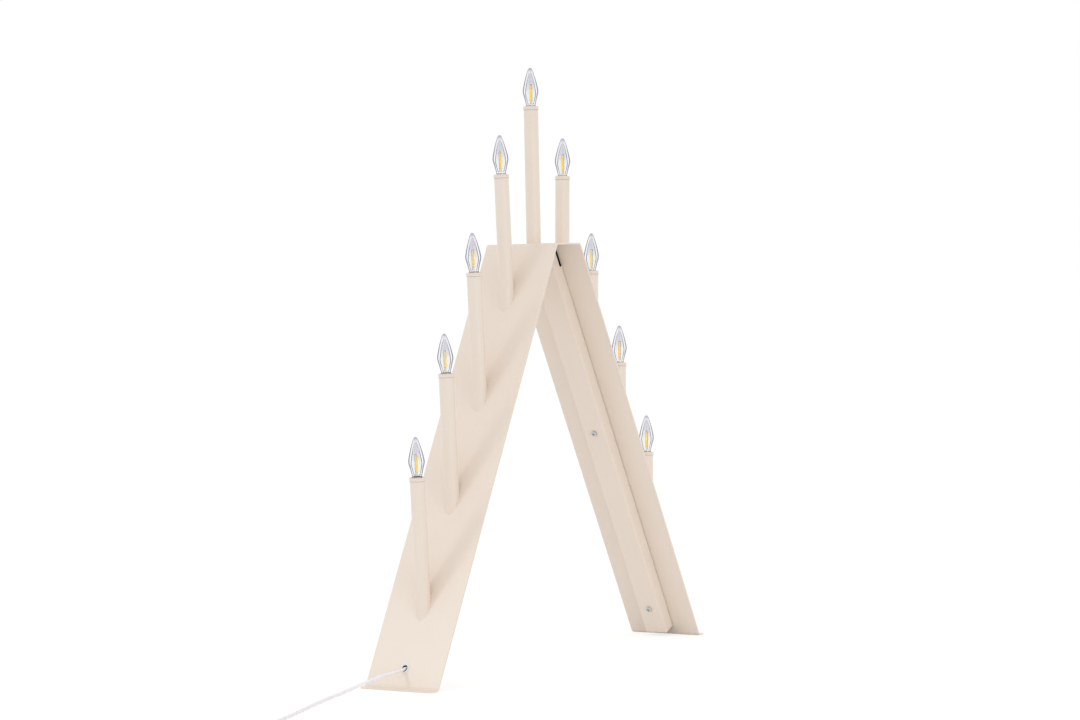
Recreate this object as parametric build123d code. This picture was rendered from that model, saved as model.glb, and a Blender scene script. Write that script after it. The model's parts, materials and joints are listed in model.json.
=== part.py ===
from build123d import *
import math
import os

# A candle arch: one bent sheet band, with a tube candle on its flat top and four on each leg.
# Millimetres. X runs along the span, Y from front to back (the front is at -Y), Z up from the floor.
# The origin lies on the floor, under the middle of the arch.

# The bent sheet band
band_width = 81.5
sheet_thickness = 1.5
arch_height = 406.0
top_width = 41.0
half_span = 234.0
flange_length = 10.0
bend_radius = 1.2
foot_bend_radius = 4.0
flange_corner_radius = 5.0

# The candle tubes: their feet are cut to the slope of the leg, and they splay a little outwards
tube_diameter = 14.0
tube_wall = 0.6
candles_per_leg = 4
first_foot_x = 48.5
last_foot_inset = 37.75
center_candle_height = 133.5
side_candle_height = 132.0
splay = math.radians(2.5)
wire_hole_diameter = 9.0

# The lamp holder in the mouth of each tube
collar_diameter = 14.8
collar_height = 3.4
collar_edge = 0.4
holder_clearance = 0.1
holder_length = 24.0
holder_floor_depth = 15.5
holder_floor_thickness = 2.0

# The brass screw shell and the centre contact in each holder
shell_bore_diameter = 9.7
shell_wall = 0.3
shell_clearance = 0.05
shell_top_depth = 1.0
rivet_diameter = 2.4
rivet_clearance = 0.05
rivet_head_diameter = 4.4
rivet_head_height = 0.6
spring_tip_diameter = 2.0
contact_gap = 0.3

# The screw base of each bulb: a rolled thread, an insulator and a solder contact
base_rim_diameter = 9.5
base_rim_height = 1.0
base_rim_depth = 2.0
thread_major_diameter = 9.4
thread_minor_diameter = 8.5
thread_pitch = 1.81
thread_turns = 4
base_wall = 0.3
neck_clearance = 0.05
insulator_height = 1.6
insulator_inset = 0.6
contact_diameter = 3.0
contact_height = 0.9

# The clear flame-shaped bulb
glass_neck_diameter = 8.9
glass_diameter = 15.3
glass_height = 37.4
glass_wall = 1.7
glass_tip_wall = 4.0
glass_stem_height = 1.0
glass_stem_bore = 6.0
glass_seat_depth = 6.0
# Heights and radii of the flame's outline: the flare's end, the widest place, the shoulder
# and a place on the long taper
flame_height_shares = (0.24, 0.385, 0.52, 0.69)
flame_radius_shares = (0.84, 1.0, 0.905, 0.7)
# The rounded tip is a part of a ball
tip_ball_share = 0.28
tip_ball_angle = math.radians(65)

# The light-emitting stick and its two leads
stick_diameter = 1.9
stick_length = 15.4
stick_height = 4.7
stick_tilt = 2.0
lead_diameter = 0.5
lead_offset = 2.3
lead_rise = 1.4
lead_bend_radius = 0.7

# The cover channel inside each leg
cover_width = 25.0
cover_height = 14.4
cover_wall = 1.0
cover_bend_radius = 1.2
cover_start = 12.6
cover_top_gap = 5.7
# The rims stand this far off the sheet, as the cover rests on its pillars
cover_rim_gap = 0.6
cover_notch_length = 18.0
cover_notch_height = 4.0

# The cover's screws and the threaded pillars that they go into
screw_places = (41.2, 252.3)
screw_shank_diameter = 2.9
screw_length = 7.0
screw_hole_diameter = 3.4
screw_head_diameter = 6.2
screw_head_height = 2.0
screw_head_round = 1.0
cross_width = 0.8
cross_length = 3.6
cross_depth = 1.1
thread_clearance = 0.05
pillar_width = 5.5
pillar_bore_depth = 9.0

# The bushing where the cord leaves the left leg
bushing_place = 20.6
bushing_across = 2.0
bushing_bore = 6.3
bushing_neck_diameter = 7.8
bushing_hole_clearance = 0.1
bushing_flange_diameter = 9.6
bushing_flange_height = 1.0
bushing_flange_round = 0.5
bushing_lip_diameter = 8.8
bushing_lip_height = 0.8

# The terminal block behind the bushing, where the cord is held and joined to the inner wires
block_start = 14.0
block_length = 22.0
block_width = 18.0
block_clearance = 0.3
block_edge = 0.8
block_wire_bore = 1.8
block_wire_depth = 6.0
block_screw_diameter = 4.0
block_screw_length = 2.6
block_screw_recess = 0.5
block_screw_inset = 5.0
slot_width = 0.7
slot_depth = 0.8

# The inner wires
wire_diameter = 1.6
terminal_offset = 3.3
wire_run_offset = 6.0
feed_offset = 5.0
feed_depth = 6.0
turn_depth = 5.0
run_depth = 9.5
lead_in_length = 14.0
wire_bend_radius = 2.2
top_run_gap = 3.7
top_run_depth = 8.0
top_run_drop = 6.5

# The cord: its free stretch from the bushing over the floor, point by point
cord_diameter = 3.0
cord_bore_clearance = 0.1
cord_inner_length = 7.5
cord_outer_length = 9.5
cord_dip = math.radians(8)
cord_points = [
    (-250.0, 3.5, 15.8),
    (-266.0, 9.5, 12.3),
    (-281.0, 15.5, 7.6),
    (-297.0, 20.0, 3.4),
    (-316.0, 20.3, 1.6),
    (-340.0, 12.2, 1.5),
    (-376.0, -1.3, 1.5),
    (-414.0, -15.0, 1.5),
    (-458.0, -30.5, 1.5),
    (-502.0, -45.2, 1.5),
]

# The put-away length: a flat coil in two layers, spiralling in below and out again above
coil_inner_radius = 11.0
coil_gap = 0.6
coil_turns_in = 4.5
coil_turns_out = 4.0
tail_run = 12.0

# The flat two-pin plug
plug_relief_length = 14.0
plug_relief_small_diameter = 5.4
plug_relief_large_diameter = 8.4
plug_ring_count = 4
plug_ring_width = 1.4
plug_ring_depth = 0.7
plug_rear_width = 14.0
plug_waist_width = 17.0
plug_face_width = 35.3
plug_thickness = 13.7
plug_rear_length = 10.0
plug_flare_length = 14.0
plug_face_length = 6.0
plug_round = 2.5
pin_diameter = 4.0
pin_length = 19.0
pin_spacing = 18.6
pin_round = 1.2

# How far a cutting tool runs past what it cuts
overrun = 1.0
# The part of a run or a width that a rounding takes up
rounding_share = 0.45

# Derived values
leg_reach = half_span - top_width / 2
tilt = math.atan2(leg_reach, arch_height)
leg_length = math.hypot(leg_reach, arch_height)
foot_step = (half_span - last_foot_inset - first_foot_x) / (candles_per_leg - 1)
mitre = tilt + splay
tube_radius = tube_diameter / 2
tube_bore_radius = tube_radius - tube_wall
foot_overhang = tube_radius / math.tan(mitre)
shell_outer_radius = shell_bore_diameter / 2 + shell_wall
holder_bore_radius = shell_outer_radius + shell_clearance
base_bore_radius = thread_minor_diameter / 2 - base_wall
rim_bore_radius = glass_neck_diameter / 2 + neck_clearance
thread_length = thread_pitch * thread_turns
thread_start_depth = base_rim_depth + thread_pitch / 4
base_depth = thread_start_depth + thread_length + thread_pitch / 4
insulator_end_depth = base_depth + insulator_height
contact_end_depth = insulator_end_depth + contact_height
channel_depth = cover_height - cover_wall
cover_end = leg_length - cover_top_gap
top_run_place = leg_length - top_run_gap
cord_radius = cord_diameter / 2
coil_pitch = cord_diameter + coil_gap
candles = [("center", 0, 0)]
candles += [(f"left_{i + 1}", -1, i) for i in range(candles_per_leg)]
candles += [(f"right_{i + 1}", 1, i) for i in range(candles_per_leg)]


# Places on the legs and on the candles
def up_the_leg(side):
    return Vector(-side * math.sin(tilt), 0, math.cos(tilt))


def out_of_leg(side):
    return Vector(side * math.cos(tilt), 0, math.sin(tilt))


def leg_point(side, along, across, depth):
    """A point along a leg from the floor, across the band, and depth behind the leg's inner face."""
    start = Vector(side * half_span, across, 0)
    return start + up_the_leg(side) * along - out_of_leg(side) * (sheet_thickness + depth)


def inner_plane(side):
    """The leg's inner face: X runs up the leg, and Z into the space under the arch."""
    return Plane(origin=leg_point(side, 0, 0, 0), x_dir=up_the_leg(side), z_dir=-out_of_leg(side))


def outer_plane(side, along, across):
    """The leg's outer face at one place: X runs up the leg, and Z away from it."""
    origin = leg_point(side, along, across, -sheet_thickness)
    return Plane(origin=origin, x_dir=up_the_leg(side), z_dir=out_of_leg(side))


def foot_place(place):
    """How far up the leg's outer face a candle's axis meets it."""
    return (half_span - first_foot_x - place * foot_step) / math.sin(tilt)


def candle_plane(side, place):
    """A candle's own frame: Z is its axis, from the sheet's outer face, and X points outwards."""
    if side == 0:
        return Plane(origin=(0, 0, arch_height), x_dir=(1, 0, 0), z_dir=(0, 0, 1))
    foot = leg_point(side, foot_place(place), 0, -sheet_thickness)
    outwards = Vector(side * math.cos(splay), 0, -math.sin(splay))
    upwards = Vector(side * math.sin(splay), 0, math.cos(splay))
    return Plane(origin=foot, x_dir=outwards, z_dir=upwards)


def candle_top(side):
    """The height of the collar's top above the sheet, on the candle's axis."""
    if side == 0:
        return center_candle_height
    return side_candle_height - foot_overhang


def candle_point(side, place, across, height):
    """A point beside a candle's axis, across the band."""
    plane = candle_plane(side, place)
    return plane.origin + Vector(0, across, 0) + plane.z_dir * height


# General shapes
def turned(edges):
    """A solid turned round Z from a closed outline in the XZ plane."""
    return revolve(Face(Wire(edges)), Axis.Z)


def outline(*points):
    """The edges of a closed outline through (radius, height) points."""
    places = [(r, 0, z) for r, z in points]
    return [Line(a, b) for a, b in zip(places, places[1:] + places[:1])]


def round_path(points, radii):
    return FilletPolyline(*points, radius=radii)


def tube_along(path, diameter):
    """A round tube along a path."""
    section = Plane(origin=path @ 0, z_dir=path % 0) * Circle(diameter / 2)
    return sweep(section, path=path)


def easy_radii(points):
    """For each corner of a cord's route, the largest arc that its two runs leave room for."""
    radii = []
    for a, b, c in zip(points, points[1:], points[2:]):
        first, second = Vector(b) - Vector(a), Vector(c) - Vector(b)
        half_turn = math.radians(first.get_angle(second)) / 2
        shorter = min(first.length, second.length)
        radii.append(rounding_share * shorter / math.tan(half_turn))
    return radii


# The sheet band
def sheet_outline():
    """The band seen from the front, as corner points with their bend radii."""
    outside = bend_radius + sheet_thickness
    foot_outside = foot_bend_radius + sheet_thickness
    tip_x = half_span + flange_length
    crook = (half_span - sheet_thickness * math.tan(tilt), sheet_thickness, foot_bend_radius)
    inner_foot_x = half_span - sheet_thickness / math.cos(tilt)
    ceiling = arch_height - sheet_thickness
    inner_top_x = inner_foot_x - ceiling * math.tan(tilt)
    upper = [(tip_x, sheet_thickness, 0), crook, (top_width / 2, arch_height, outside)]
    lower = [(inner_top_x, ceiling, bend_radius), (inner_foot_x, 0, foot_outside), (tip_x, 0, 0)]
    mirrored_upper = [(-x, z, r) for x, z, r in reversed(upper)]
    mirrored_lower = [(-x, z, r) for x, z, r in reversed(lower)]
    return upper + mirrored_upper + mirrored_lower + lower


def arch_sheet():
    corners = sheet_outline()
    edge = FilletPolyline(
        *[(x, 0, z) for x, z, _ in corners], radius=[r for _, _, r in corners], close=True
    )
    band = extrude(Face(Wire(edge.edges())), amount=band_width / 2, dir=(0, 1, 0), both=True)
    tips = band.edges().filter_by(Axis.Z).filter_by(lambda e: abs(e.center().X) > half_span)
    band = fillet(tips, flange_corner_radius)
    reach = foot_overhang + sheet_thickness
    for _, side, place in candles:
        drill = Cylinder(wire_hole_diameter / 2, 2 * reach + sheet_thickness)
        band -= candle_plane(side, place).location * drill
    hole = Cylinder(bushing_neck_diameter / 2 + bushing_hole_clearance, 2 * reach)
    band -= outer_plane(-1, bushing_place, bushing_across).location * hole
    return band


# Candle tubes and lamp holders
def candle_tube(side):
    """A tube in its own frame, its foot cut to the leg's slope."""
    top = candle_top(side) - collar_height
    overhang = foot_overhang if side else 0
    lift = Pos(0, 0, -overhang)
    on_foot = (Align.CENTER, Align.CENTER, Align.MIN)
    tube = lift * Cylinder(tube_radius, top + overhang, align=on_foot)
    tube -= lift * Cylinder(tube_bore_radius, top + overhang, align=on_foot)
    if side:
        slope = Plane(origin=(0, 0, 0), z_dir=(math.cos(mitre), 0, math.sin(mitre)))
        tube = split(tube, bisect_by=slope, keep=Keep.TOP)
    return tube


def lamp_holder():
    """The moulded holder, from its top face down."""
    collar = collar_diameter / 2
    barrel = tube_bore_radius - holder_clearance
    rivet = rivet_diameter / 2 + rivet_clearance
    floor_end = holder_floor_depth + holder_floor_thickness
    return turned(
        outline(
            (rivet, -holder_floor_depth),
            (holder_bore_radius, -holder_floor_depth),
            (holder_bore_radius, 0),
            (collar - collar_edge, 0),
            (collar, -collar_edge),
            (collar, -collar_height),
            (barrel, -collar_height),
            (barrel, -holder_length),
            (holder_bore_radius, -holder_length),
            (holder_bore_radius, -floor_end),
            (rivet, -floor_end),
        )
    )


def socket_shell():
    """The brass screw shell that stands on the holder's floor."""
    inner = shell_bore_diameter / 2
    return turned(
        outline(
            (inner, -shell_top_depth),
            (shell_outer_radius, -shell_top_depth),
            (shell_outer_radius, -holder_floor_depth),
            (inner, -holder_floor_depth),
        )
    )


def socket_contact():
    """The riveted centre contact with its springy tip."""
    stem = rivet_diameter / 2
    head = rivet_head_diameter / 2
    floor_end = holder_floor_depth + holder_floor_thickness
    spring_top = contact_end_depth + contact_gap
    return turned(
        outline(
            (0, -floor_end - rivet_head_height),
            (head, -floor_end - rivet_head_height),
            (head, -floor_end),
            (stem, -floor_end),
            (stem, -holder_floor_depth),
            (head, -holder_floor_depth),
            (head, -holder_floor_depth + rivet_head_height),
            (spring_tip_diameter / 2, -spring_top),
            (0, -spring_top),
        )
    )


# Bulbs, from the collar's top face up and down
def bulb_cap():
    """The rolled screw cap: a plain rim and rounded thread turns."""
    rim = base_rim_diameter / 2
    crest = thread_major_diameter / 2
    root = thread_minor_diameter / 2
    middle = (crest + root) / 2
    edges = [
        Line((rim_bore_radius, 0, base_rim_height), (rim, 0, base_rim_height)),
        Line((rim, 0, base_rim_height), (rim, 0, -base_rim_depth)),
        Line((rim, 0, -base_rim_depth), (middle, 0, -thread_start_depth)),
    ]
    for turn in range(thread_turns):
        z = -thread_start_depth - turn * thread_pitch
        half = z - thread_pitch / 2
        end = z - thread_pitch
        crest_place = (crest, 0, (z + half) / 2)
        root_place = (root, 0, (half + end) / 2)
        edges.append(ThreePointArc((middle, 0, z), crest_place, (middle, 0, half)))
        edges.append(ThreePointArc((middle, 0, half), root_place, (middle, 0, end)))
    last = -thread_start_depth - thread_length
    edges += [
        Line((middle, 0, last), (root, 0, -base_depth)),
        Line((root, 0, -base_depth), (base_bore_radius, 0, -base_depth)),
        Line((base_bore_radius, 0, -base_depth), (base_bore_radius, 0, -base_rim_depth)),
        Line((base_bore_radius, 0, -base_rim_depth), (rim_bore_radius, 0, -base_rim_depth)),
        Line((rim_bore_radius, 0, -base_rim_depth), (rim_bore_radius, 0, base_rim_height)),
    ]
    return turned(edges)


def bulb_insulator():
    wide = base_bore_radius - neck_clearance
    return turned(
        outline(
            (0, -base_depth + insulator_inset),
            (wide, -base_depth + insulator_inset),
            (wide, -base_depth),
            (contact_diameter / 2, -insulator_end_depth),
            (0, -insulator_end_depth),
        )
    )


def bulb_contact():
    """The solder contact, a part of a ball."""
    radius = contact_diameter / 2
    ball = (radius**2 + contact_height**2) / (2 * contact_height)
    angle = math.asin(radius / ball)
    shoulder, dome, tip = [
        (ball * math.sin(a), 0, -contact_end_depth + ball - ball * math.cos(a))
        for a in (angle, angle / 2, 0)
    ]
    middle = (0, 0, shoulder[2])
    return turned([ThreePointArc(shoulder, dome, tip), Line(tip, middle), Line(middle, shoulder)])


def flame_edges(start, radius, height):
    """The outside of a flame shape, from a start point on its flare to its tip on the axis."""
    shares = zip(flame_radius_shares, flame_height_shares)
    flare, widest, shoulder, taper = [(radius * r, 0, height * h) for r, h in shares]
    ball = radius * tip_ball_share
    tip_start, tip_middle, tip = [
        (ball * math.sin(a), 0, height - ball + ball * math.cos(a))
        for a in (tip_ball_angle, tip_ball_angle / 2, 0)
    ]
    return [
        Line(start, flare),
        ThreePointArc(flare, widest, shoulder),
        ThreePointArc(shoulder, taper, tip_start),
        ThreePointArc(tip_start, tip_middle, tip),
    ]


def bulb_glass():
    """The thick-walled envelope, its neck seated in the cap."""
    neck = glass_neck_diameter / 2
    seat = base_bore_radius - neck_clearance
    rim = (neck, 0, base_rim_height)
    tip = (0, 0, glass_height)
    solid = turned(
        flame_edges(rim, glass_diameter / 2, glass_height)
        + [
            Line(tip, (0, 0, -glass_seat_depth)),
            Line((0, 0, -glass_seat_depth), (seat, 0, -glass_seat_depth)),
            Line((seat, 0, -glass_seat_depth), (seat, 0, -base_rim_depth)),
            Line((seat, 0, -base_rim_depth), (neck, 0, -base_rim_depth)),
            Line((neck, 0, -base_rim_depth), rim),
        ]
    )
    stem_top = base_rim_height + glass_stem_height
    stem_edge = (glass_stem_bore / 2, 0, stem_top)
    inner_height = glass_height - glass_tip_wall
    cavity = turned(
        flame_edges(stem_edge, glass_diameter / 2 - glass_wall, inner_height)
        + [Line((0, 0, inner_height), (0, 0, stem_top)), Line((0, 0, stem_top), stem_edge)]
    )
    return solid - cavity


def bulb_filament():
    """The glowing stick."""
    on_foot = (Align.CENTER, Align.CENTER, Align.MIN)
    stick = Cylinder(stick_diameter / 2, stick_length, align=on_foot)
    stick = fillet(stick.edges().filter_by(GeomType.CIRCLE), stick_diameter * rounding_share)
    return Pos(0, 0, stick_height) * Rot(0, -stick_tilt, 0) * stick


def bulb_leads():
    """The stick's lower lead, and the lead that comes back down beside it."""
    on_foot = (Align.CENTER, Align.CENTER, Align.MIN)
    stem_top = base_rim_height + glass_stem_height
    lead = Pos(0, 0, stem_top) * Cylinder(lead_diameter / 2, stick_height, align=on_foot)
    stick_top = stick_height + stick_length
    lean = stick_length * math.sin(math.radians(stick_tilt))
    back_points = [
        (-lean, 0, stick_top - lead_rise),
        (-lean, 0, stick_top + lead_rise),
        (lead_offset, 0, stick_top + lead_rise),
        (lead_offset, 0, stem_top),
    ]
    back = tube_along(round_path(back_points, lead_bend_radius), lead_diameter)
    return lead + back - bulb_filament()


# Covers, pillars and screws
def cover():
    """The channel in the leg's inner frame, its rims a little off the sheet."""
    length = cover_end - cover_start
    from_start = (Align.MIN, Align.CENTER, Align.MIN)
    start = Pos(cover_start, 0, cover_rim_gap)
    shell = start * Box(length, cover_width, cover_height - cover_rim_gap, align=from_start)
    long_edges = shell.edges().filter_by(Axis.X).group_by(Axis.Z)[-1]
    shell = fillet(long_edges, cover_bend_radius)
    inside = Box(
        length + 2 * overrun, cover_width - 2 * cover_wall, channel_depth, align=from_start
    )
    shell -= Pos(cover_start - overrun, 0, 0) * inside
    notch = Box(
        cover_notch_length + overrun,
        cover_width + 2 * overrun,
        2 * cover_notch_height,
        align=(Align.MAX, Align.CENTER, Align.CENTER),
    )
    notch_ends = notch.edges().filter_by(Axis.Y).group_by(Axis.X)[0]
    notch = fillet(notch_ends, cover_notch_height * rounding_share)
    shell -= Pos(cover_end + overrun, 0, 0) * notch
    for place in screw_places:
        hole = Cylinder(screw_hole_diameter / 2, 2 * cover_wall + 2 * overrun)
        shell -= Pos(place, 0, cover_height) * hole
    return shell


def pillar():
    """A hexagonal pillar from the sheet to the cover, with a blind hole for the screw."""
    on_foot = (Align.CENTER, Align.CENTER, Align.MIN)
    body = extrude(RegularPolygon(pillar_width / 2, 6, major_radius=False), channel_depth)
    bore = Cylinder(screw_shank_diameter / 2 + thread_clearance, pillar_bore_depth, align=on_foot)
    return body - Pos(0, 0, channel_depth - pillar_bore_depth) * bore


def cover_screw():
    """A pan-head screw with a cross recess, its head on the cover's face at Z 0."""
    on_foot = (Align.CENTER, Align.CENTER, Align.MIN)
    head = Cylinder(screw_head_diameter / 2, screw_head_height, align=on_foot)
    head = fillet(head.edges().group_by(Axis.Z)[-1], screw_head_round)
    for length, width in ((cross_length, cross_width), (cross_width, cross_length)):
        head -= Pos(0, 0, screw_head_height) * Box(length, width, 2 * cross_depth)
    shank = Cylinder(
        screw_shank_diameter / 2, screw_length, align=(Align.CENTER, Align.CENTER, Align.MAX)
    )
    return head + shank


# The bushing and the terminal block
def cord_bushing():
    """The snap-in bushing, its flange on the leg's outer face at Z 0."""
    on_foot = (Align.CENTER, Align.CENTER, Align.MIN)
    hanging = (Align.CENTER, Align.CENTER, Align.MAX)
    flange = Cylinder(bushing_flange_diameter / 2, bushing_flange_height, align=on_foot)
    neck = Cylinder(bushing_neck_diameter / 2, sheet_thickness, align=hanging)
    lip = Cylinder(bushing_lip_diameter / 2, bushing_lip_height, align=hanging)
    body = flange + neck + Pos(0, 0, -sheet_thickness) * lip
    height = bushing_flange_height + sheet_thickness + bushing_lip_height
    body -= Pos(0, 0, bushing_flange_height) * Cylinder(bushing_bore / 2, height, align=hanging)
    return fillet(body.edges().group_by(Axis.Z)[-1], bushing_flange_round)


def cord_exit():
    """The middle of the bushing's bore, and the cord's direction as it leaves."""
    depth = (bushing_lip_height - sheet_thickness - bushing_flange_height) / 2
    middle = leg_point(-1, bushing_place, bushing_across, depth)
    return middle, Vector(-math.cos(cord_dip), 0, -math.sin(cord_dip))


def terminal_block():
    """The block in the left leg's inner frame, over the bushing's lip."""
    height = channel_depth - block_clearance
    from_start = (Align.MIN, Align.CENTER, Align.MIN)
    block = Pos(block_start, 0, 0) * Box(block_length, block_width, height, align=from_start)
    block = fillet(block.edges().filter_by(Axis.Z), block_edge)
    lip_radius = bushing_lip_diameter / 2 + block_clearance
    lip_depth = bushing_lip_height + block_clearance
    # The leg frame's Y runs to the front here
    block -= Pos(bushing_place, -bushing_across, 0) * Cylinder(lip_radius, 2 * lip_depth)
    end = block_start + block_length
    for across in (-feed_offset, feed_offset):
        bore = Rot(0, 90, 0) * Cylinder(block_wire_bore / 2, 2 * block_wire_depth)
        block -= Pos(end, across, feed_depth) * bore
        well = Cylinder(
            block_screw_diameter / 2 + thread_clearance, 2 * (block_screw_length + block_screw_recess)
        )
        block -= Pos(end - block_screw_inset, across, height) * well
    block = inner_plane(-1).location * block
    middle, direction = cord_exit()
    bore_plane = Plane(origin=middle, z_dir=-direction)
    bore = Cylinder(
        cord_radius + cord_bore_clearance,
        cord_inner_length,
        align=(Align.CENTER, Align.CENTER, Align.MIN),
    )
    return block - bore_plane.location * bore


def terminal_screw():
    """A slotted clamping screw, its top at Z 0."""
    hanging = (Align.CENTER, Align.CENTER, Align.MAX)
    body = Cylinder(block_screw_diameter / 2, block_screw_length, align=hanging)
    return body - Box(block_screw_diameter + overrun, slot_width, 2 * slot_depth)


def terminal_screws():
    height = channel_depth - block_clearance - block_screw_recess
    along = block_start + block_length - block_screw_inset
    return [
        inner_plane(-1).location * Pos(along, across, height) * terminal_screw()
        for across in (-feed_offset, feed_offset)
    ]


# The inner wires, which join the nine holders in one row
def turn_place(place, depth):
    """Where along the leg a candle's wire is when it has come that deep into the channel."""
    return foot_place(place) - (sheet_thickness + depth) / math.tan(mitre)


def wire_top(side):
    """The height at which a wire meets the underside of the holder's floor."""
    return candle_top(side) - holder_floor_depth - holder_floor_thickness


def wire_from_candle(side, place, across, run_across):
    """Down out of a candle, round into the channel, and a little way up the leg."""
    deep = turn_place(place, turn_depth)
    return [
        candle_point(side, place, across, wire_top(side)),
        leg_point(side, deep, across, turn_depth),
        leg_point(side, deep, across, run_depth),
        leg_point(side, deep + lead_in_length, run_across, run_depth),
    ]


def wire_into_candle(side, place, across, run_across):
    """From the channel's run up into the next candle."""
    deep = turn_place(place, turn_depth)
    return [
        leg_point(side, deep - lead_in_length, run_across, run_depth),
        leg_point(side, deep, across, turn_depth),
        candle_point(side, place, across, wire_top(side)),
    ]


def over_the_top(side, across):
    return leg_point(side, top_run_place, across, top_run_depth)


def link_wires():
    """One wire between each two neighbouring candles."""
    wires = []
    for side in (-1, 1):
        up, down, run = side * terminal_offset, -side * terminal_offset, side * wire_run_offset
        for place in range(candles_per_leg - 1, 0, -1):
            points = wire_from_candle(side, place, up, run)
            points += wire_into_candle(side, place - 1, down, run)
            wires.append(tube_along(round_path(points, wire_bend_radius), wire_diameter))
        under_top = Vector(0, up, arch_height - top_run_drop)
        points = wire_from_candle(side, 0, up, run)
        points += [over_the_top(side, run), under_top, candle_point(0, 0, up, wire_top(0))]
        wires.append(tube_along(round_path(points, wire_bend_radius), wire_diameter))
    return wires


def supply_wires():
    """The feed to the lowest candle on the left, and the return from the lowest on the right."""
    last = candles_per_leg - 1
    block_end = block_start + block_length
    start = block_end - block_wire_depth
    deep = turn_place(last, turn_depth)
    feed = [
        leg_point(-1, start, -feed_offset, feed_depth),
        leg_point(-1, deep - lead_in_length, -feed_offset, feed_depth),
        leg_point(-1, deep, terminal_offset, turn_depth),
        candle_point(-1, last, terminal_offset, wire_top(-1)),
    ]
    back = wire_from_candle(1, last, -terminal_offset, -wire_run_offset)
    back += [over_the_top(1, -wire_run_offset), over_the_top(-1, wire_run_offset)]
    back += [
        leg_point(-1, block_end + 2 * lead_in_length, wire_run_offset, run_depth),
        leg_point(-1, block_end + lead_in_length, feed_offset, feed_depth),
        leg_point(-1, start, feed_offset, feed_depth),
    ]
    return [tube_along(round_path(p, wire_bend_radius), wire_diameter) for p in (feed, back)]


# The coil: a spiral in on the floor, a half turn that climbs a layer, and a spiral out above it
inward_angle = 2 * math.pi * coil_turns_in
climbed_angle = inward_angle + math.pi
whole_angle = climbed_angle + 2 * math.pi * coil_turns_out
coil_entry_radius = coil_inner_radius + coil_turns_in * coil_pitch


def coil_radius(angle):
    growth = coil_pitch / (2 * math.pi)
    if angle < inward_angle:
        return coil_entry_radius - growth * angle
    if angle < climbed_angle:
        past = angle - inward_angle
        return coil_inner_radius - growth * (past - past * past / math.pi)
    return coil_inner_radius + growth * (angle - climbed_angle)


def coil_height(angle):
    if angle < inward_angle:
        return cord_radius
    if angle < climbed_angle:
        return cord_radius + coil_pitch * (1 - math.cos(angle - inward_angle)) / 2
    return cord_radius + coil_pitch


def coil_slope(angle):
    """How the radius and the height change with the angle."""
    growth = coil_pitch / (2 * math.pi)
    if angle < inward_angle:
        return -growth, 0
    if angle < climbed_angle:
        past = angle - inward_angle
        return -growth * (1 - 2 * past / math.pi), coil_pitch * math.sin(past) / 2
    return growth, 0


# The cord comes to the coil along the last run of its route, and the coil winds clockwise from above
last_run = Vector(*cord_points[-1]) - Vector(*cord_points[-2])
heading_angle = math.atan2(last_run.Y, last_run.X)
entry_slant = math.atan2(coil_pitch / (2 * math.pi), coil_entry_radius)
start_angle = heading_angle + math.pi / 2 + entry_slant
coil_entry = Vector(*cord_points[-1]) + last_run.normalized() * cord_diameter
coil_center = coil_entry - Vector(math.cos(start_angle), math.sin(start_angle), 0) * coil_entry_radius


def coil_point(angle):
    around = start_angle - angle
    place = Vector(math.cos(around), math.sin(around), 0) * coil_radius(angle)
    return Vector(coil_center.X + place.X, coil_center.Y + place.Y, coil_height(angle))


def coil_tangent(angle):
    around = start_angle - angle
    outward = Vector(math.cos(around), math.sin(around), 0)
    onward = Vector(math.sin(around), -math.cos(around), 0)
    radial, rise = coil_slope(angle)
    return (outward * radial + onward * coil_radius(angle) + Vector(0, 0, rise)).normalized()


def biarc(a, a_direction, b, b_direction):
    """Two tangent arcs from one place and direction to another."""
    span = b - a
    both = a_direction + b_direction
    quadratic = 2 * (1 - a_direction.dot(b_direction))
    linear = 2 * span.dot(both)
    root = math.sqrt(linear * linear + 4 * quadratic * span.dot(span))
    reach = (root - linear) / (2 * quadratic)
    first_knee = a + a_direction * reach
    second_knee = b - b_direction * reach
    joint = (first_knee + second_knee) * 0.5
    direction = (second_knee - first_knee).normalized()
    return [Edge.make_tangent_arc(a, a_direction, joint), Edge.make_tangent_arc(joint, direction, b)]


def coil_path():
    quarter = math.pi / 2
    steps = round(whole_angle / quarter)
    angles = [whole_angle * i / steps for i in range(steps + 1)]
    start, end = coil_point(angles[0]), coil_point(angles[-1])
    edges = [Edge.make_line(start - coil_tangent(0) * cord_diameter, start)]
    for a, b in zip(angles, angles[1:]):
        edges += biarc(coil_point(a), coil_tangent(a), coil_point(b), coil_tangent(b))
    edges.append(Edge.make_line(end, end + coil_tangent(whole_angle) * cord_diameter))
    return Wire(edges)


def least_gap(path):
    """The least gap between two parts of the coil that aren't next to each other along it."""
    step = cord_radius
    count = int(path.length / step)
    points = [path @ (i / count) for i in range(count + 1)]
    apart = int(2 * math.pi * coil_inner_radius / step / 2)
    least = coil_entry_radius
    for i, a in enumerate(points):
        for b in points[i + apart:]:
            least = min(least, (a - b).length)
    return least - cord_diameter


# The cord's stretches
def lead_points():
    middle, direction = cord_exit()
    start = middle - direction * cord_inner_length
    knee = middle + direction * cord_outer_length
    return [start, knee, *[Vector(*p) for p in cord_points]]


def tail_points():
    """From the coil's upper layer to the plug's middle height."""
    direction = coil_tangent(whole_angle)
    start = coil_point(whole_angle) + direction * cord_diameter
    rise = Vector(0, 0, plug_thickness / 2 - start.Z)
    return [
        start,
        start + direction * tail_run,
        start + direction * 2 * tail_run + rise,
        start + direction * 3 * tail_run + rise,
    ]


# The plug
def plug_plane():
    """The plug's own frame: X runs from the cord towards the pins."""
    end = tail_points()[-1]
    return Plane(origin=end, x_dir=coil_tangent(whole_angle), z_dir=(0, 0, 1))


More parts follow.
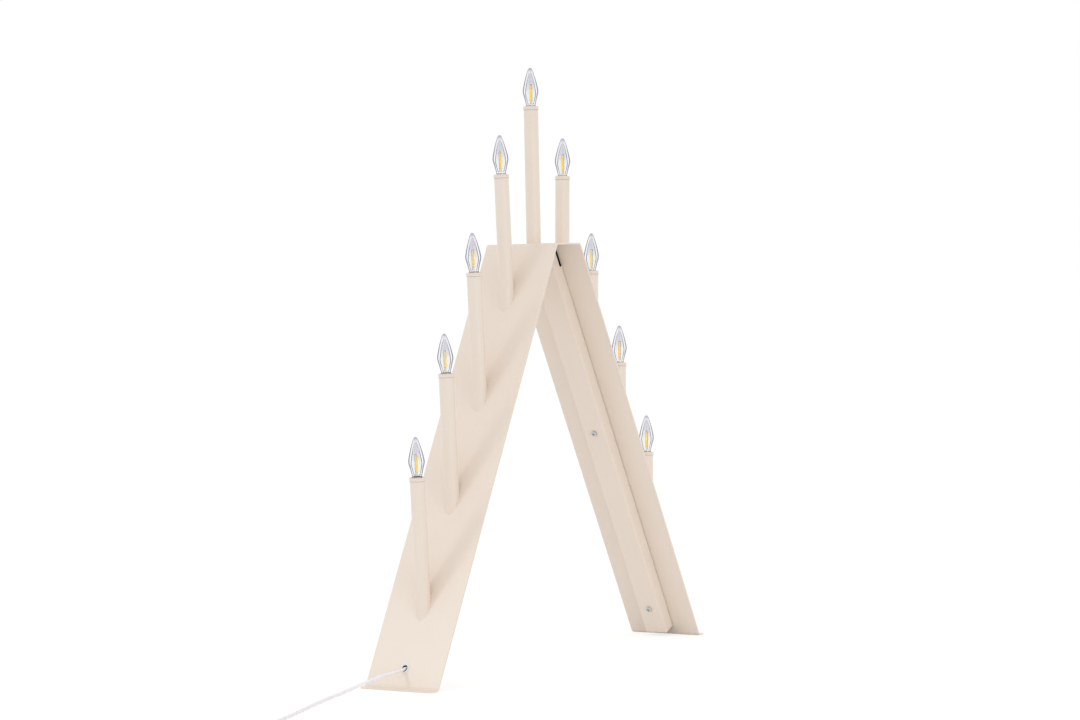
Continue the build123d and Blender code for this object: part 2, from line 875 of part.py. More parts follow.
def plug_body():
    rear = plug_relief_length
    waist = rear + plug_rear_length
    flare = waist + plug_flare_length
    face = flare + plug_face_length
    half = [
        (rear, plug_rear_width / 2),
        (waist, plug_waist_width / 2),
        (flare, plug_face_width / 2),
        (face, plug_face_width / 2),
    ]
    plan = [*half, *[(x, -y) for x, y in reversed(half)]]
    body = extrude(Face(Wire.make_polygon(plan)), plug_thickness / 2, both=True)
    sides = body.edges().filter_by(Axis.Z)
    body = fillet(sides, plug_round)
    rims = body.edges().group_by(Axis.Z)
    body = fillet([*rims[0], *rims[-1]], plug_round / 2)
    small, large = plug_relief_small_diameter / 2, plug_relief_large_diameter / 2
    sloped = Cone(small, large, plug_relief_length, align=(Align.CENTER, Align.CENTER, Align.MIN))
    step = plug_relief_length / (plug_ring_count + 1)
    for i in range(plug_ring_count):
        at = step * (i + 1)
        radius = small + (large - small) * at / plug_relief_length
        ring = Cylinder(radius + overrun, plug_ring_width)
        ring -= Cylinder(radius - plug_ring_depth, plug_ring_width + overrun)
        sloped -= Pos(0, 0, at) * ring
    body += Rot(0, 90, 0) * sloped
    return plug_plane().location * body


def plug_pins():
    start = plug_relief_length + plug_rear_length + plug_flare_length + plug_face_length
    pin = Cylinder(pin_diameter / 2, pin_length, align=(Align.CENTER, Align.CENTER, Align.MIN))
    pin = fillet(pin.edges().group_by(Axis.Z)[-1], pin_round)
    return [
        plug_plane().location * Pos(start, side * pin_spacing / 2, 0) * Rot(0, 90, 0) * pin
        for side in (-1, 1)
    ]


# Writing the nodes
def write(name, solids):
    whole = solids[0] if len(solids) == 1 else Compound(children=solids)
    export_step(whole, f"parts/{name}.step")


def single(shape):
    """The solids of a shape, each on its own."""
    return list(shape.solids())


def write_candles():
    holders = {-1: [], 0: [], 1: []}
    shells, contacts = [], []
    holder, shell, contact = lamp_holder(), socket_shell(), socket_contact()
    glass, filament = bulb_glass(), bulb_filament()
    base = [bulb_cap(), bulb_insulator(), bulb_contact(), bulb_leads()]
    for name, side, place in candles:
        frame = candle_plane(side, place).location
        top = frame * Pos(0, 0, candle_top(side))
        write(f"candle_tube_{name}", single(frame * candle_tube(side)))
        write(f"bulb_glass_{name}", single(top * glass))
        write(f"bulb_filament_{name}", single(top * filament))
        write(f"bulb_base_{name}", [s for piece in base for s in single(top * piece)])
        holders[side] += single(top * holder)
        shells += single(top * shell)
        contacts += single(top * contact)
    for side, word in ((-1, "left"), (0, "center"), (1, "right")):
        write(f"lamp_holders_{word}", holders[side])
    write("socket_shells", shells)
    write("socket_contacts", contacts)


def write_covers():
    channel, post, screw = cover(), pillar(), cover_screw()
    posts, screws = [], []
    for side, word in ((-1, "left"), (1, "right")):
        frame = inner_plane(side).location
        write(f"cover_{word}", single(frame * channel))
        for place in screw_places:
            posts += single(frame * Pos(place, 0, 0) * post)
            screws += single(frame * Pos(place, 0, cover_height) * screw)
    write("cover_pillars", posts)
    write("cover_screws", screws)


def write_cord():
    points = lead_points()
    radii = easy_radii(points)
    tail = tail_points()
    tail_radii = easy_radii(tail)
    paths = {
        "cord_lead": round_path(points, radii),
        "cord_coil": coil_path(),
        "cord_tail": round_path(tail, tail_radii),
    }
    print("cord bends, mm:", [round(r) for r in radii], [round(r) for r in tail_radii])
    length = 0
    for name, path in paths.items():
        solid = tube_along(path, cord_diameter)
        length += path.length
        expected = math.pi * cord_radius**2 * path.length
        print(f"{name}: {path.length:.1f} mm long, volume {solid.volume / expected:.5f} of its section")
        write(name, single(solid))
    print(f"cord length {length:.1f} mm, least gap in the coil {least_gap(paths['cord_coil']):.2f} mm")


def main():
    os.makedirs("parts", exist_ok=True)
    write("arch_sheet", single(arch_sheet()))
    write_candles()
    write_covers()
    bushing_frame = outer_plane(-1, bushing_place, bushing_across).location
    write("cord_bushing", single(bushing_frame * cord_bushing()))
    write("terminal_block", single(terminal_block()))
    write("terminal_screws", [s for screw in terminal_screws() for s in single(screw)])
    write("link_wires", [s for wire in link_wires() for s in single(wire)])
    write("supply_wires", [s for wire in supply_wires() for s in single(wire)])
    write_cord()
    write("plug_body", single(plug_body()))
    write("plug_pins", [s for pin in plug_pins() for s in single(pin)])


main()
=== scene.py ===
import json
import math

import bmesh
import bpy
from mathutils import Matrix, Vector


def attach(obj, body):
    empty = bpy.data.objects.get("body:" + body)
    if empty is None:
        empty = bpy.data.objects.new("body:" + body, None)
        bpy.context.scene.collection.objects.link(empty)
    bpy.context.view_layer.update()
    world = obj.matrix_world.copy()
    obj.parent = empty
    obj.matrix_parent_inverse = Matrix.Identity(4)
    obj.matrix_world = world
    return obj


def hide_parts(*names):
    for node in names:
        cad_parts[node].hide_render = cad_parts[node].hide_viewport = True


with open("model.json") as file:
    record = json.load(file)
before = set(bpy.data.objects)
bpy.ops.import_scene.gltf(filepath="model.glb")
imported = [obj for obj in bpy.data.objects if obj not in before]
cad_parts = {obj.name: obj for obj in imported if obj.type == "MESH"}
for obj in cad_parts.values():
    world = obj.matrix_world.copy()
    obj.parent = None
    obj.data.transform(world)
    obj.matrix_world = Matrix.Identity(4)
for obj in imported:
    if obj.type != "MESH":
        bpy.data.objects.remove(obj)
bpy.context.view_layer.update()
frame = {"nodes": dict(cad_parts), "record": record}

# Sizes are in millimetres, as in the part's source, and mm() turns them into metres
MM = 0.001

# The arch and its candles
sheet_thickness = 1.5
arch_height = 406.0
top_width = 41.0
half_span = 234.0
first_foot_x = 48.5
foot_step = 49.25
candles_per_leg = 4
tube_radius = 7.0
center_candle_height = 133.5
side_candle_height = 132.0
splay = math.radians(2.5)
tilt = math.atan2(half_span - top_width / 2, arch_height)

# The holder's collar, with a dark ring below it that paints the shade in the joint's gap
collar_height = 3.4
shade_ring_height = 0.35
shade_ring_reach = 0.12
shade_ring_depth = 0.5

# The bulb's glass: heights go up from the collar's top and depths go down from it
glass_radius = 7.65
glass_height = 37.4
glass_wall = 2.3
glass_tip_wall = 5.0
glass_rim_height = 1.0
glass_neck_radius = 4.45
glass_seat_depth = 5.0
glass_seat_step = 0.6
glass_shoulder_depth = 2.0
glass_shoulder_rise = 0.1
glass_stem_height = 2.0
glass_stem_radius = 3.0
flame_height_shares = (0.24, 0.31, 0.385, 0.45, 0.52, 0.6, 0.69, 0.78, 0.87, 0.94, 0.972)
flame_radius_shares = (0.84, 0.945, 1.0, 0.97, 0.905, 0.815, 0.7, 0.57, 0.425, 0.295, 0.215)
tip_shares = ((0.989, 0.145), (0.997, 0.075), (1.0, 0.0))

# Turned meshes: a radius below the least one is on the axis, and the weld distance is in metres
ring_sides = 48
profile_steps = 4
least_radius = 1e-6
weld_distance = 1e-7

# The cover channel inside each leg, and the bushing, where shade is painted into the hollows
cover_inner_half_width = 11.5
cover_inner_depth = 13.4
cover_start = 12.6
cover_top_gap = 5.7
channel_slack = 0.4
bushing_place = 20.6
bushing_across = 2.0
bushing_bore_radius = 3.15
bore_slack = 0.25

# The cord's route over the floor, as in the part's source
cord_diameter = 3.0
cord_route = [
    (-216.41, 2.0, 18.974),
    (-233.244, 2.0, 16.608),
    (-250.0, 3.5, 15.8),
    (-266.0, 9.5, 12.3),
    (-281.0, 15.5, 7.6),
    (-297.0, 20.0, 3.4),
    (-316.0, 20.3, 1.6),
    (-340.0, 12.2, 1.5),
    (-376.0, -1.3, 1.5),
    (-414.0, -15.0, 1.5),
    (-458.0, -30.5, 1.5),
    (-502.0, -45.2, 1.5),
]
cord_round_steps = 5
cord_curve_steps = 8
coil_center = (-514.006, -20.5395)
coil_start_angle = math.radians(-70.31925911860115)
coil_inner_radius = 11.0
coil_pitch = 3.6
coil_turns_in = 4.5
coil_turns_out = 4.0
coil_points_per_turn = 16
tail_heading = (-0.93374942, -0.3579274)
tail_run = 12.0
plug_height = 6.85

# The camera, fitted to the photograph: distances in millimetres, angles in degrees
frame_width = 1080
sensor_width = 36.0
camera_azimuth = 56.3766
camera_distance = 2917.38
camera_height = 368.92
camera_pitch = 1.4942
camera_yaw = 0.073
camera_roll = 1.2075
camera_focal_pixels = 2996.36
camera_reach_metres = 100.0

# The stage, in metres; each lamp has a name, place, target, width, power in watts and spread in degrees
surround_light = 0.89
floor_reach = 20.0
floor_grey = 0.9
floor_glow = 1.15
floor_white_share = 0.65
lamps = (
    ("left_softbox", (-2.0, 1.35, 1.6), (-0.3, 0.0, 0.0), 0.6, 0.38, 50),
    ("front_softbox", (-1.0, -2.4, 0.4), (0.3, 0.0, -0.1), 0.9, 0.55, 45),
)

# Patterns on the materials: widths in metres, and the noise values where the two colours are reached
noise_places = (0.3, 0.7)
smooth_detail = 1.0
plain_detail = 2.0
fine_detail = 3.0
tone_patch = 0.06
gloss_patch = 0.02
gloss_spread = 0.1
grain_depth_share = 0.1
coat_roughness = 0.25
metal_dark_share = 0.85
metal_gloss_spread = 0.2
# The painted shade colour of the hollows inside the covered channels and the bushing's bore
painted_shade_color = (0.02, 0.018, 0.016)

# Skins: colour, its spread, roughness, grain width in metres, grain strength, clear coat
skins = {
    "white_enamel": ((0.86, 0.755, 0.655), 0.008, 0.5, 0.0012, 0.15, 0.5),
    "holder_plastic": ((0.85, 0.75, 0.655), 0.01, 0.45, 0.0008, 0.1, 0.0),
    # joint_shade is painted shade: the dark ring's colour stands for the shadow in the collar's joint
    "joint_shade": ((0.55, 0.46, 0.38), 0.02, 0.6, 0.0008, 0.1, 0.0),
    "white_plastic": ((0.85, 0.84, 0.82), 0.01, 0.4, 0.0006, 0.15, 0.0),
    "terminal_plastic": ((0.72, 0.72, 0.7), 0.02, 0.45, 0.0008, 0.15, 0.0),
    "wire_skin": ((0.78, 0.77, 0.73), 0.02, 0.4, 0.0008, 0.1, 0.0),
}

# Metals: colour, roughness, streak width in metres
metals = {
    "plated_steel": ((0.62, 0.61, 0.59), 0.3, 0.001),
    "brass": ((0.72, 0.52, 0.22), 0.3, 0.001),
    "cap_nickel": ((0.42, 0.39, 0.3), 0.28, 0.001),
    "pin_nickel": ((0.66, 0.65, 0.62), 0.25, 0.002),
}

# Clear glass, first by how far the surface turns away from the view, from 0 to 1 at the outline: darker
# and lighter rings are painted in to stand for the thick wall's refraction and reflection
glass_roughness = 0.04
glass_refraction = 1.5
glass_blend = 0.5
glass_painted_dark = (0.14, 0.145, 0.24)
glass_middle = (0.27, 0.27, 0.43)
glass_painted_light = (0.42, 0.42, 0.62)
glass_painted_tones = (
    (0.0, glass_middle),
    (0.18, glass_middle),
    (0.26, glass_painted_dark),
    (0.32, glass_painted_light),
    (0.43, glass_painted_light),
    (0.5, glass_painted_dark),
)
glass_painted_contours = (
    (0.0, 0.15),
    (0.13, 0.13),
    (0.2, 0.07),
    (0.26, 0.2),
    (0.31, 0.06),
    (0.42, 0.06),
    (0.48, 0.5),
    (1.0, 0.88),
)
glass_outline_start = 0.44

# Then by height, from 0 at its seat to 1 at its tip: the lower half is clearer, and the solid tip is
# painted darker for its refraction
glass_rises = ((0.0, 0.4), (0.45, 0.4), (0.66, 1.0))
glass_painted_tips = ((0.86, 0.0), (0.94, 0.26), (1.0, 0.55))

# The light stick, with its painted glow, and the cord's skin
stick_patch = 0.002
stick_noise_places = (0.35, 0.65)
stick_dark = (0.8, 0.5, 0.03)
stick_light = (0.82, 0.59, 0.08)
stick_painted_glow = 0.55
stick_roughness = 0.5
cord_patch = 0.01
cord_dark = (0.9, 0.87, 0.91)
cord_light = (0.95, 0.92, 0.96)
cord_roughness = 0.3
cord_scatter_share = 0.2
cord_scatter_reach = 0.002


def mm(*values):
    return tuple(v * MM for v in values)


def add_object(name, data):
    """A new object in the scene that shows the given data."""
    obj = bpy.data.objects.new(name, data)
    bpy.context.scene.collection.objects.link(obj)
    return obj


# Places on the arch
def candle_frame(side, place):
    """A matrix from a candle's own frame, in metres, with its Z from the collar's top along the tube."""
    if side == 0:
        return Matrix.Translation(mm(0, 0, arch_height + center_candle_height))
    along = (half_span - first_foot_x - place * foot_step) / math.sin(tilt)
    foot = Vector((side * (half_span - along * math.sin(tilt)), 0, along * math.cos(tilt)))
    axis = Vector((side * math.sin(splay), 0, math.cos(splay)))
    length = side_candle_height - tube_radius / math.tan(tilt + splay)
    lift = Matrix.Translation((foot + axis * length) * MM)
    return lift @ Matrix.Rotation(side * splay, 4, "Y")


def candle_list():
    """Each candle's name, its side (-1 left, 0 middle, 1 right) and its place from the top down."""
    yield "center", 0, 0
    for word, side in (("left", -1), ("right", 1)):
        for place in range(candles_per_leg):
            yield f"{word}_{place + 1}", side, place


# Nodes
def grey(value):
    return (value,) * 3


def new_material(name):
    """A material with one Principled shader, and that shader."""
    material = bpy.data.materials.new(name)
    material.use_nodes = True
    nodes = material.node_tree.nodes
    nodes.clear()
    output = nodes.new("ShaderNodeOutputMaterial")
    shader = nodes.new("ShaderNodeBsdfPrincipled")
    material.node_tree.links.new(shader.outputs["BSDF"], output.inputs["Surface"])
    return material, shader


def calculate(tree, operation, *values):
    """A math node on sockets and numbers."""
    node = tree.nodes.new("ShaderNodeMath")
    node.operation = operation
    for socket, value in zip(node.inputs, values):
        if isinstance(value, (int, float)):
            socket.default_value = value
        else:
            tree.links.new(value, socket)
    return node.outputs[0]


def coordinates(tree, kind):
    """A surface point's X, Y and Z: "Object" in metres, or "Generated" from 0 to 1 over the piece."""
    source = tree.nodes.new("ShaderNodeTexCoord")
    parts = tree.nodes.new("ShaderNodeSeparateXYZ")
    tree.links.new(source.outputs[kind], parts.inputs["Vector"])
    return parts.outputs


def noise(tree, size, detail=plain_detail):
    """Noise that stays on the piece, with grains about size metres wide."""
    source = tree.nodes.new("ShaderNodeTexCoord")
    texture = tree.nodes.new("ShaderNodeTexNoise")
    texture.inputs["Scale"].default_value = 1 / size
    texture.inputs["Detail"].default_value = detail
    tree.links.new(source.outputs["Object"], texture.inputs["Vector"])
    return texture.outputs["Fac"]


def ramp(tree, value, stops):
    """A colour ramp through (place, colour) stops."""
    node = tree.nodes.new("ShaderNodeValToRGB")
    elements = node.color_ramp.elements
    while len(elements) < len(stops):
        elements.new(1.0)
    for element, (position, color) in zip(elements, stops):
        element.position = position
        element.color = (*color, 1.0)
    tree.links.new(value, node.inputs["Fac"])
    return node.outputs["Color"]


def grey_ramp(tree, value, stops):
    """A ramp of plain numbers through (place, number) stops."""
    return ramp(tree, value, [(place, grey(number)) for place, number in stops])


def uneven(tree, size, first, second, detail=plain_detail, places=noise_places):
    """A colour that drifts between two, in patches about size metres wide."""
    return ramp(tree, noise(tree, size, detail), tuple(zip(places, (first, second))))


def uneven_gloss(tree, size, roughness, spread):
    """A roughness that drifts by the given share up and down."""
    return uneven(tree, size, grey(roughness * (1 - spread)), grey(roughness * (1 + spread)))


def bump(tree, height, distance, strength):
    node = tree.nodes.new("ShaderNodeBump")
    node.inputs["Distance"].default_value = distance
    node.inputs["Strength"].default_value = strength
    tree.links.new(height, node.inputs["Height"])
    return node.outputs["Normal"]


def blend_shaders(tree, share, first, second, output):
    """Shows the second shader where share is one, and the first where it is zero."""
    mix = tree.nodes.new("ShaderNodeMixShader")
    tree.links.new(share, mix.inputs["Fac"])
    tree.links.new(first.outputs[0], mix.inputs[1])
    tree.links.new(second.outputs[0], mix.inputs[2])
    tree.links.new(mix.outputs[0], output.inputs["Surface"])


# Painted shade: hollows that no light reaches get a dark base colour
def leg_coordinates(tree):
    """How far a surface point is behind a leg's outer face, along the leg, and across it."""
    parts = coordinates(tree, "Object")
    inwards = calculate(tree, "SUBTRACT", half_span * MM, calculate(tree, "ABSOLUTE", parts["X"]))
    behind_in = calculate(tree, "MULTIPLY", inwards, math.cos(tilt))
    behind_up = calculate(tree, "MULTIPLY", parts["Z"], math.sin(tilt))
    along_in = calculate(tree, "MULTIPLY", inwards, math.sin(tilt))
    along_up = calculate(tree, "MULTIPLY", parts["Z"], math.cos(tilt))
    behind = calculate(tree, "SUBTRACT", behind_in, behind_up)
    along = calculate(tree, "ADD", along_in, along_up)
    return behind, along, parts["Y"]


def channel_shade_share(tree):
    """Where shade is painted: one on the surfaces inside the covered channels, and zero elsewhere."""
    behind, along, across = leg_coordinates(tree)
    across = calculate(tree, "ABSOLUTE", across)
    web = sheet_thickness + cover_inner_depth
    cover_end = (half_span - top_width / 2) / math.sin(tilt) - cover_top_gap
    tests = [
        calculate(tree, "LESS_THAN", across, (cover_inner_half_width + channel_slack) * MM),
        calculate(tree, "LESS_THAN", behind, (web + channel_slack) * MM),
        calculate(tree, "GREATER_THAN", behind, (sheet_thickness - channel_slack) * MM),
        calculate(tree, "GREATER_THAN", along, (cover_start + channel_slack) * MM),
        calculate(tree, "LESS_THAN", along, (cover_end + channel_slack) * MM),
    ]
    share = tests[0]
    for test in tests[1:]:
        share = calculate(tree, "MULTIPLY", share, test)
    return share


def bore_shade_share(tree):
    """Where shade is painted: one inside the bushing's bore and on what shows through it, and zero
    elsewhere.
    """
    behind, along, across = leg_coordinates(tree)
    rise = calculate(tree, "SUBTRACT", along, bushing_place * MM)
    shift = calculate(tree, "SUBTRACT", across, bushing_across * MM)
    squares = [calculate(tree, "MULTIPLY", value, value) for value in (rise, shift)]
    reach = calculate(tree, "SQRT", calculate(tree, "ADD", *squares))
    near = calculate(tree, "LESS_THAN", reach, (bushing_bore_radius + bore_slack) * MM)
    return calculate(tree, "MULTIPLY", near, calculate(tree, "GREATER_THAN", behind, bore_slack * MM))


def paint_shade_inside(material, share_of):
    """Paints shade: lets the base colour fall to the painted shade colour where share_of gives one."""
    tree = material.node_tree
    shader = next(node for node in tree.nodes if node.type == "BSDF_PRINCIPLED")
    plain = shader.inputs["Base Color"].links[0].from_socket
    mix = tree.nodes.new("ShaderNodeMix")
    mix.data_type = "RGBA"
    tree.links.new(share_of(tree), mix.inputs["Factor"])
    tree.links.new(plain, mix.inputs["A"])
    mix.inputs["B"].default_value = (*painted_shade_color, 1.0)
    tree.links.new(mix.outputs["Result"], shader.inputs["Base Color"])


# Materials
def coated(name, color, spread, roughness, grain, grain_strength, coat):
    """A coated or moulded skin: slightly uneven in colour and gloss, with a fine grain."""
    material, shader = new_material(name)
    tree = material.node_tree
    darker = tuple(c * (1 - spread) for c in color)
    lighter = tuple(min(1.0, c * (1 + spread)) for c in color)
    tree.links.new(uneven(tree, tone_patch, darker, lighter, fine_detail), shader.inputs["Base Color"])
    gloss = uneven_gloss(tree, gloss_patch, roughness, gloss_spread)
    tree.links.new(gloss, shader.inputs["Roughness"])
    shader.inputs["Coat Weight"].default_value = coat
    shader.inputs["Coat Roughness"].default_value = coat_roughness
    grain_noise = noise(tree, grain, smooth_detail)
    normal = bump(tree, grain_noise, grain * grain_depth_share, grain_strength)
    tree.links.new(normal, shader.inputs["Normal"])
    return material


def metal(name, color, roughness, grain):
    """Plated or plain metal with fine streaks."""
    material, shader = new_material(name)
    tree = material.node_tree
    shader.inputs["Metallic"].default_value = 1.0
    darker = tuple(c * metal_dark_share for c in color)
    tree.links.new(uneven(tree, grain, darker, color, fine_detail), shader.inputs["Base Color"])
    gloss = uneven_gloss(tree, grain, roughness, metal_gloss_spread)
    tree.links.new(gloss, shader.inputs["Roughness"])
    return material


def clear_glass():
    """Thick clear glass: grey-lilac, with painted darker and lighter contours that stand for the
    refraction and reflection of a thick wall.
    """
    material, shader = new_material("clear_glass")
    tree = material.node_tree
    shader.inputs["Roughness"].default_value = glass_roughness
    shader.inputs["IOR"].default_value = glass_refraction
    weight = tree.nodes.new("ShaderNodeLayerWeight")
    weight.inputs["Blend"].default_value = glass_blend
    facing = weight.outputs["Facing"]
    # Painted refraction and reflection: the colour and the alpha follow how far the surface turns from
    # the view
    tree.links.new(ramp(tree, facing, glass_painted_tones), shader.inputs["Base Color"])
    contour = grey_ramp(tree, facing, glass_painted_contours)
    height = coordinates(tree, "Generated")["Z"]
    rise = grey_ramp(tree, height, glass_rises)
    tip = grey_ramp(tree, height, glass_painted_tips)
    outline = calculate(tree, "GREATER_THAN", facing, glass_outline_start)
    kept = calculate(tree, "MAXIMUM", rise, outline)
    body = calculate(tree, "MULTIPLY", contour, kept)
    tree.links.new(calculate(tree, "MAXIMUM", body, tip), shader.inputs["Alpha"])
    return material


def stick_with_painted_glow():
    """The amber coating of the light stick, with a painted glow: it gives off a little light though the
    bulb is not lit.
    """
    material, shader = new_material("filament_amber")
    tree = material.node_tree
    shade = uneven(tree, stick_patch, stick_dark, stick_light, places=stick_noise_places)
    tree.links.new(shade, shader.inputs["Base Color"])
    # Painted glow: the stick gives off light although the bulb is not lit
    tree.links.new(shade, shader.inputs["Emission Color"])
    shader.inputs["Emission Strength"].default_value = stick_painted_glow
    shader.inputs["Roughness"].default_value = stick_roughness
    return material


def cord_skin():
    """The cord's white, slightly clear skin."""
    material, shader = new_material("cord_skin")
    tree = material.node_tree
    tree.links.new(uneven(tree, cord_patch, cord_dark, cord_light), shader.inputs["Base Color"])
    shader.inputs["Roughness"].default_value = cord_roughness
    shader.inputs["Subsurface Weight"].default_value = cord_scatter_share
    shader.inputs["Subsurface Radius"].default_value = grey(cord_scatter_reach)
    return material


materials = {name: coated(name, *values) for name, values in skins.items()}
materials.update({name: metal(name, *values) for name, values in metals.items()})
materials["clear_glass"] = clear_glass()
materials["filament_amber"] = stick_with_painted_glow()
materials["cord_skin"] = cord_skin()

# Painted shade inside the covered channels
paint_shade_inside(materials["white_enamel"], channel_shade_share)
# Painted shade in the bushing's bore and on what shows through it
paint_shade_inside(materials["white_plastic"], bore_shade_share)
paint_shade_inside(materials["terminal_plastic"], bore_shade_share)


def dress(obj, name):
    obj.data.materials.clear()
    obj.data.materials.append(materials[name])


def dress_frame():
    """Gives every node of the model the material of its slot."""
    for entry in frame["record"]["subparts"]:
        dress(frame["nodes"][entry["node"]], entry["material_slot"])


# Turned pieces
def smooth_value(p, q, r, s, t):
    """The value at share t of the way from q to r, on a soft curve that comes from p and goes on to s."""
    slope = (r - p) * t
    square = (2 * p - 5 * q + 4 * r - s) * t * t
    cube = (3 * q - 3 * r + s - p) * t**3
    return 0.5 * (2 * q + slope + square + cube)


def smooth_profile(points):
    """Points along a soft curve through the given (radius, height) points."""
    ends = [points[0], *points, points[-1]]
    out = []
    for corners in zip(ends, ends[1:], ends[2:], ends[3:]):
        for i in range(profile_steps):
            out.append(tuple(smooth_value(*values, i / profile_steps) for values in zip(*corners)))
    return out + [points[-1]]


def add_ring(shape, r, z):
    """The corners of one ring round Z, or a single one on the axis."""
    if r < least_radius:
        return [shape.verts.new(mm(0, 0, z))]
    turns = [2 * math.pi * i / ring_sides for i in range(ring_sides)]
    return [shape.verts.new(mm(r * math.cos(a), r * math.sin(a), z)) for a in turns]


def join_rings(shape, lower, upper):
    """The faces between two rings; a face that touches the axis has three corners."""
    for i in range(ring_sides):
        j = (i + 1) % ring_sides
        corners = [lower[i % len(lower)], lower[j % len(lower)]]
        corners += [upper[j % len(upper)], upper[i % len(upper)]]
        unique = list(dict.fromkeys(corners))
        if len(unique) > 2:
            shape.faces.new(unique)


def lathe(name, profiles):
    """A mesh turned round Z from one or more closed (radius, height) outlines in millimetres."""
    mesh = bpy.data.meshes.new(name)
    shape = bmesh.new()
    for profile in profiles:
        rings = [add_ring(shape, r, z) for r, z in profile]
        for lower, upper in zip(rings, rings[1:]):
            join_rings(shape, lower, upper)
    bmesh.ops.remove_doubles(shape, verts=shape.verts, dist=weld_distance)
    bmesh.ops.recalc_face_normals(shape, faces=shape.faces)
    shape.to_mesh(mesh)
    shape.free()
    for face in mesh.polygons:
        face.use_smooth = True
    return add_object(name, mesh)


def flame_profile(start, radius, height):
    """The flame's outline from a starting point up to its tip."""
    points = [(radius * r, height * h) for r, h in zip(flame_radius_shares, flame_height_shares)]
    points += [(radius * r, height * h) for h, r in tip_shares]
    profile = smooth_profile([start, *points])
    return profile[:-1] + [(0.0, height)]


def bulb_envelope(name, matrix):
    """The thick-walled flame: its outside, and the hollow inside it."""
    seat_radius = glass_neck_radius - glass_seat_step
    outer = [
        (0.0, -glass_seat_depth),
        (seat_radius, -glass_seat_depth),
        (seat_radius, -glass_shoulder_depth),
        (glass_neck_radius, glass_shoulder_rise - glass_shoulder_depth),
    ]
    outer += flame_profile((glass_neck_radius, glass_rim_height), glass_radius, glass_height)
    inner_start = (glass_stem_radius, glass_stem_height)
    inner = [(0.0, glass_stem_height)]
    inner += flame_profile(inner_start, glass_radius - glass_wall, glass_height - glass_tip_wall)
    obj = lathe(f"bulb_envelope_{name}", [outer, inner])
    obj.data.transform(matrix)
    dress(obj, "clear_glass")
    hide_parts(f"bulb_glass_{name}")
    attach(obj, f"bulb_{name}")


def collar_shade_ring(name, matrix):
    """A dark ring that paints the shade in the joint's gap between the holder's collar and the tube's
    mouth.
    """
    outside, inside = tube_radius + shade_ring_reach, tube_radius - shade_ring_depth
    top, low = -collar_height, -collar_height - shade_ring_height
    outline = [(inside, top), (outside, top), (outside, low), (inside, low), (inside, top)]
    obj = lathe(f"collar_shade_ring_{name}", [outline])
    obj.data.transform(matrix)
    dress(obj, "joint_shade")
    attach(obj, "arch")


# The cord
def coil_control_points():
    """The coil's points: a spiral in on the floor, a half turn up, and a spiral out."""
    inward = 2 * math.pi * coil_turns_in
    climbed = inward + math.pi
    whole = climbed + 2 * math.pi * coil_turns_out
    step = 2 * math.pi / coil_points_per_turn
    growth = coil_pitch / (2 * math.pi)
    low = cord_diameter / 2
    points = []
    for i in range(round(whole / step)):
        angle = (i + 0.5) * step
        if angle < inward:
            radius, height = coil_inner_radius + growth * (inward - angle), low
        elif angle < climbed:
            past = angle - inward
            radius = coil_inner_radius - growth * (past - past * past / math.pi)
            height = low + coil_pitch * (1 - math.cos(past)) / 2
        else:
            radius, height = coil_inner_radius + growth * (angle - climbed), low + coil_pitch
        around = coil_start_angle - angle
        reach = radius / math.cos(step / 2)
        x = coil_center[0] + reach * math.cos(around)
        y = coil_center[1] + reach * math.sin(around)
        points.append((x, y, height))
    return points


def tail_control_points():
    """The tail's points: off the coil's outer turn and up to the plug."""
    radius = coil_inner_radius + coil_pitch * coil_turns_out
    x = coil_center[0] + radius * math.cos(coil_start_angle)
    y = coil_center[1] + radius * math.sin(coil_start_angle)
    low = cord_diameter / 2 + coil_pitch
    points = []
    for runs, height in enumerate((low, low, plug_height, plug_height)):
        along = cord_diameter + runs * tail_run
        points.append((x + tail_heading[0] * along, y + tail_heading[1] * along, height))
    return points


def power_cord():
    """The whole cord as one smooth line."""
    points = cord_route + coil_control_points() + tail_control_points()
    curve = bpy.data.curves.new("power_cord", "CURVE")
    curve.dimensions = "3D"
    curve.bevel_depth = cord_diameter / 2 * MM
    curve.bevel_resolution = cord_round_steps
    curve.use_fill_caps = True
    spline = curve.splines.new("NURBS")
    spline.points.add(len(points) - 1)
    for point, place in zip(spline.points, points):
        point.co = (*mm(*place), 1.0)
    spline.order_u = 3
    spline.use_endpoint_u = True
    spline.resolution_u = cord_curve_steps
    obj = add_object("power_cord", curve)
    dress(obj, "cord_skin")
    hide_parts("cord_lead", "cord_coil", "cord_tail")
    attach(obj, "arch")


# The stage: a pale floor, a plain white surround, soft lamps
def seen_directly(tree):
    """One for camera, glossy and transmission rays, and zero for the light itself."""
    path = tree.nodes.new("ShaderNodeLightPath").outputs
    first = calculate(tree, "MAXIMUM", path["Is Camera Ray"], path["Is Glossy Ray"])
    return calculate(tree, "MAXIMUM", first, path["Is Transmission Ray"])


def white_surround():
    """Lights the object evenly, and looks plain white where it is seen."""
    world = bpy.data.worlds.new("surround")
    bpy.context.scene.world = world
    world.use_nodes = True
    tree = world.node_tree
    tree.nodes.clear()
    output = tree.nodes.new("ShaderNodeOutputWorld")
    lit = tree.nodes.new("ShaderNodeBackground")
    lit.inputs["Color"].default_value = (1, 1, 1, 1)
    lit.inputs["Strength"].default_value = surround_light
    seen = tree.nodes.new("ShaderNodeBackground")
    seen.inputs["Color"].default_value = (1, 1, 1, 1)
    blend_shaders(tree, seen_directly(tree), lit, seen, output)


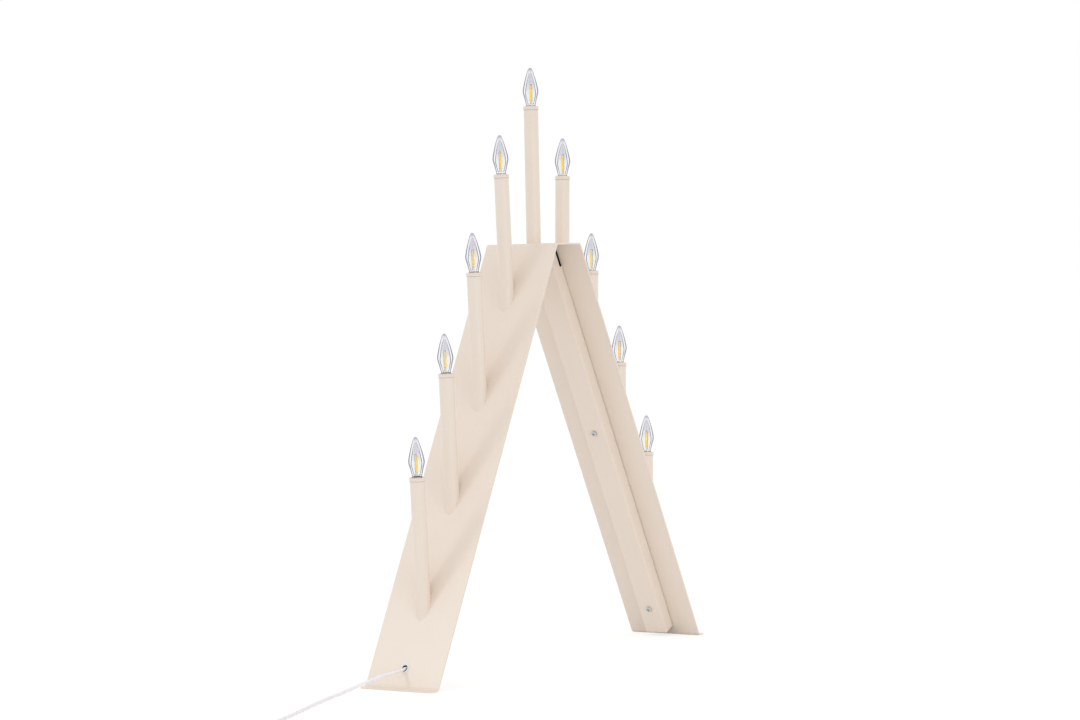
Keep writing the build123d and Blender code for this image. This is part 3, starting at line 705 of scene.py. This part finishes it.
def floor():
    """A pale floor that looks white and still keeps the object's soft shadow."""
    mesh = bpy.data.meshes.new("floor")
    corners = [(x * floor_reach, y * floor_reach, 0) for x, y in ((-1, -1), (1, -1), (1, 1), (-1, 1))]
    mesh.from_pydata(corners, [], [(0, 1, 2, 3)])
    obj = add_object("floor", mesh)
    material = bpy.data.materials.new("floor_white")
    material.use_nodes = True
    tree = material.node_tree
    tree.nodes.clear()
    output = tree.nodes.new("ShaderNodeOutputMaterial")
    matte = tree.nodes.new("ShaderNodeBsdfDiffuse")
    matte.inputs["Color"].default_value = (*grey(floor_grey), 1)
    white = tree.nodes.new("ShaderNodeEmission")
    white.inputs["Strength"].default_value = floor_glow
    share = calculate(tree, "MULTIPLY", seen_directly(tree), floor_white_share)
    blend_shaders(tree, share, matte, white, output)
    mesh.materials.append(material)


def area_lamp(name, place, target, size, power, spread):
    """A round soft lamp aimed at the target."""
    light = bpy.data.lights.new(name, "AREA")
    light.shape = "DISK"
    light.size = size
    light.energy = power
    light.spread = math.radians(spread)
    obj = add_object(name, light)
    obj.location = place
    direction = Vector(target) - Vector(place)
    obj.rotation_euler = direction.to_track_quat("-Z", "Y").to_euler()


def fitted_camera():
    """The camera from which the photograph was taken."""
    turned = math.radians(camera_azimuth + camera_yaw)
    pitch, roll = math.radians(camera_pitch), math.radians(camera_roll)
    level = Vector((math.sin(turned), math.cos(turned), 0))
    right = Vector((math.cos(turned), -math.sin(turned), 0))
    up = Vector((0, 0, 1))
    forward = level * math.cos(pitch) - up * math.sin(pitch)
    raised = level * math.sin(pitch) + up * math.cos(pitch)
    rolled_right = right * math.cos(roll) - raised * math.sin(roll)
    rolled_up = raised * math.cos(roll) + right * math.sin(roll)
    azimuth = math.radians(camera_azimuth)
    x = -math.sin(azimuth) * camera_distance
    y = -math.cos(azimuth) * camera_distance
    camera = bpy.data.cameras.new("camera")
    camera.sensor_fit = "HORIZONTAL"
    camera.sensor_width = sensor_width
    camera.lens = camera_focal_pixels * sensor_width / frame_width
    camera.clip_end = camera_reach_metres
    obj = add_object("camera", camera)
    axes = Matrix((rolled_right, rolled_up, -forward)).transposed().to_4x4()
    obj.matrix_world = Matrix.Translation(mm(x, y, camera_height)) @ axes
    bpy.context.scene.camera = obj


bpy.context.scene.view_settings.view_transform = "Standard"
fitted_camera()
white_surround()
floor()
for lamp in lamps:
    area_lamp(*lamp)

dress_frame()
for candle_name, candle_side, candle_place in candle_list():
    placed = candle_frame(candle_side, candle_place)
    bulb_envelope(candle_name, placed)
    collar_shade_ring(candle_name, placed)
power_cord()
